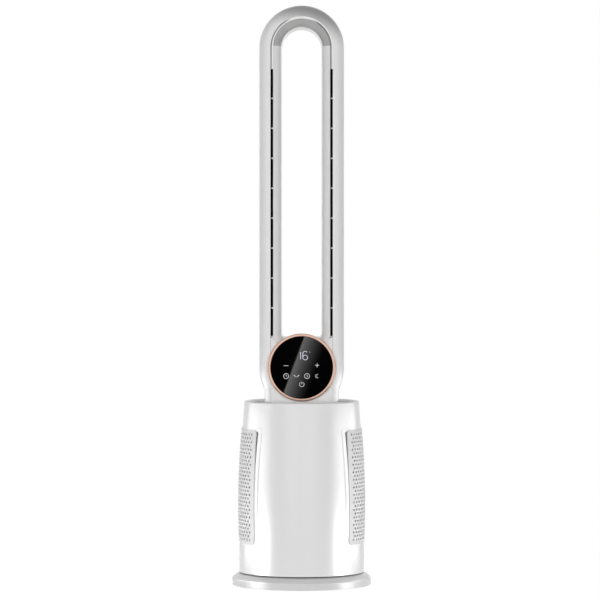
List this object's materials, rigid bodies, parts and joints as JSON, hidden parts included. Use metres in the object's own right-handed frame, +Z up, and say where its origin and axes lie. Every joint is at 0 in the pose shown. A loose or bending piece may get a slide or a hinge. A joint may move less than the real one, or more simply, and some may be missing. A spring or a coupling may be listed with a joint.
{
  "type": "bladeless tower fan",
  "caption": "Bladeless tower fan on a round base, with a tall hairpin-shaped air loop, a round touch display and a drum housing with perforated filter doors.",
  "frame": {"origin": "on the floor under the middle of the round base, on the swing axis", "axes": "+Z up along the swing axis, -Y towards the front with the display, +X to the right of someone who looks at the front"},
  "size_m": [0.26, 0.26, 1.0799],
  "materials": {
    "white_shell": "gloss white moulding",
    "grey_strip": "satin grey moulding",
    "dark_plastic": "matt black moulding",
    "inner_plastic": "matt grey moulding",
    "rose_metal": "rose gold plating",
    "black_glass": "polished black glass",
    "rubber": "matt rubber",
    "ballast_steel": "rough casting",
    "screw_steel": "zinc plated",
    "shaft_steel": "ground steel",
    "pom": "low-friction plastic",
    "motor_metal": "drawn steel",
    "lamination": "stacked sheet steel",
    "copper": "enamelled copper wire",
    "filter_paper": "folded filter paper",
    "filter_card": "white frame",
    "foam": "closed-cell foam",
    "board_green": "lacquered circuit board",
    "component": "electronic parts",
    "clear_guide": "clear acrylic"
  },
  "bodies": {
    "base": {"base_cover": "white_shell", "base_plate": "inner_plastic", "base_screws": "screw_steel", "ballast_ring": "ballast_steel", "rubber_feet": "rubber", "cord_gland": "dark_plastic", "spindle_gear": "pom", "spindle_cap": "pom", "spindle_screws": "screw_steel", "glide_ring": "pom"},
    "tower": {"turntable": "inner_plastic", "housing_screws": "screw_steel", "swing_motor": "motor_metal", "front_housing": "white_shell", "rear_housing": "white_shell", "top_cover": "white_shell", "right_filter_frame": "filter_card", "left_filter_frame": "filter_card", "right_filter_pleats": "filter_paper", "left_filter_pleats": "filter_paper", "right_filter_seal": "foam", "left_filter_seal": "foam", "chassis": "inner_plastic", "chassis_screws": "screw_steel", "fan_duct": "dark_plastic", "inlet_guard": "dark_plastic", "motor_stator": "lamination", "motor_windings": "copper", "motor_end_cap": "inner_plastic", "diffuser": "inner_plastic", "bearing_outer_races": "shaft_steel", "bearing_balls": "shaft_steel", "control_board": "board_green", "board_screws": "screw_steel", "board_components": "component", "neck_seal": "foam", "neck_screws": "screw_steel", "neck_tube": "white_shell", "outer_shell": "white_shell", "inner_shell": "white_shell", "nozzle_strip": "grey_strip", "right_nozzle_guide": "dark_plastic", "left_nozzle_guide": "dark_plastic", "front_cover": "white_shell", "rear_cover": "white_shell", "rear_screws": "screw_steel", "display_ring": "rose_metal", "display_glass": "black_glass", "display_housing": "dark_plastic", "display_board": "board_green", "display_screws": "screw_steel", "display_lens": "clear_guide"},
    "rotor": {"impeller": "dark_plastic", "impeller_nut": "shaft_steel", "motor_shaft": "shaft_steel", "motor_rotor": "motor_metal", "bearing_inner_races": "shaft_steel"},
    "pinion": {"drive_pinion": "pom"},
    "left_door": {"left_filter_door": "white_shell"},
    "right_door": {"right_filter_door": "white_shell"}
  },
  "joints": [
    {"name": "swing", "type": "hinge", "parent": "base", "child": "tower", "pos_m": [0, 0, 0.03], "axis": [0, 0, 1], "range_deg": [-40, 40]},
    {"name": "pinion_spin", "type": "hinge", "parent": "tower", "child": "pinion", "pos_m": [0, -0.045, 0.02], "axis": [0, 0, 1], "range_deg": [-141, 141]},
    {"name": "impeller_spin", "type": "hinge", "parent": "tower", "child": "rotor", "pos_m": [0, 0, 0.25], "axis": [0, 0, 1], "continuous": true},
    {"name": "left_door_pull", "type": "slide", "parent": "tower", "child": "left_door", "axis": [-1, 0, 0], "range_m": [0, 0.06]},
    {"name": "right_door_pull", "type": "slide", "parent": "tower", "child": "right_door", "axis": [1, 0, 0], "range_m": [0, 0.06]}
  ],
  "couplings": [
    {"joint": "pinion_spin", "follows": "swing", "ratio": 3.5}
  ]
}
